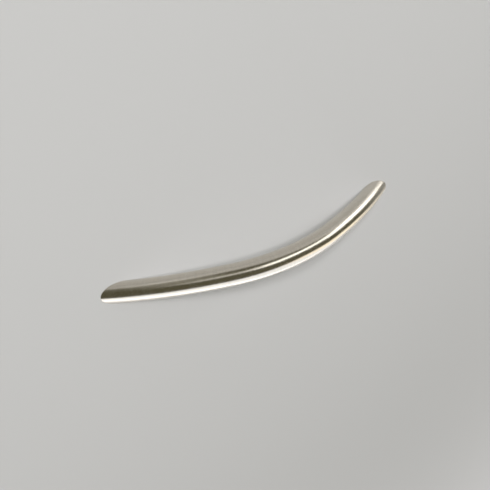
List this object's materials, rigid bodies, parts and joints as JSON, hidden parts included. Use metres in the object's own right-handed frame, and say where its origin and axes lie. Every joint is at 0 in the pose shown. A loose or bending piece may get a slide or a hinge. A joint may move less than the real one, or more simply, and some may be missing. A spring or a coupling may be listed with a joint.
{
  "type": "arch pull",
  "caption": "Round satin nickel bar bent to a low arch, both ends cut flat as long oval feet with blind tapped holes for screws through a drawer front.",
  "frame": {"origin": "on the mounting plane, midway between the two feet", "axes": "+X along the line of the two feet, +Z out of the door or drawer front towards the crown of the arch, +Y across the bar"},
  "size_m": [0.1536, 0.0094, 0.032],
  "materials": {
    "satin_nickel": "satin"
  },
  "bodies": {
    "root": {"pull_bar": "satin_nickel"}
  },
  "joints": []
}
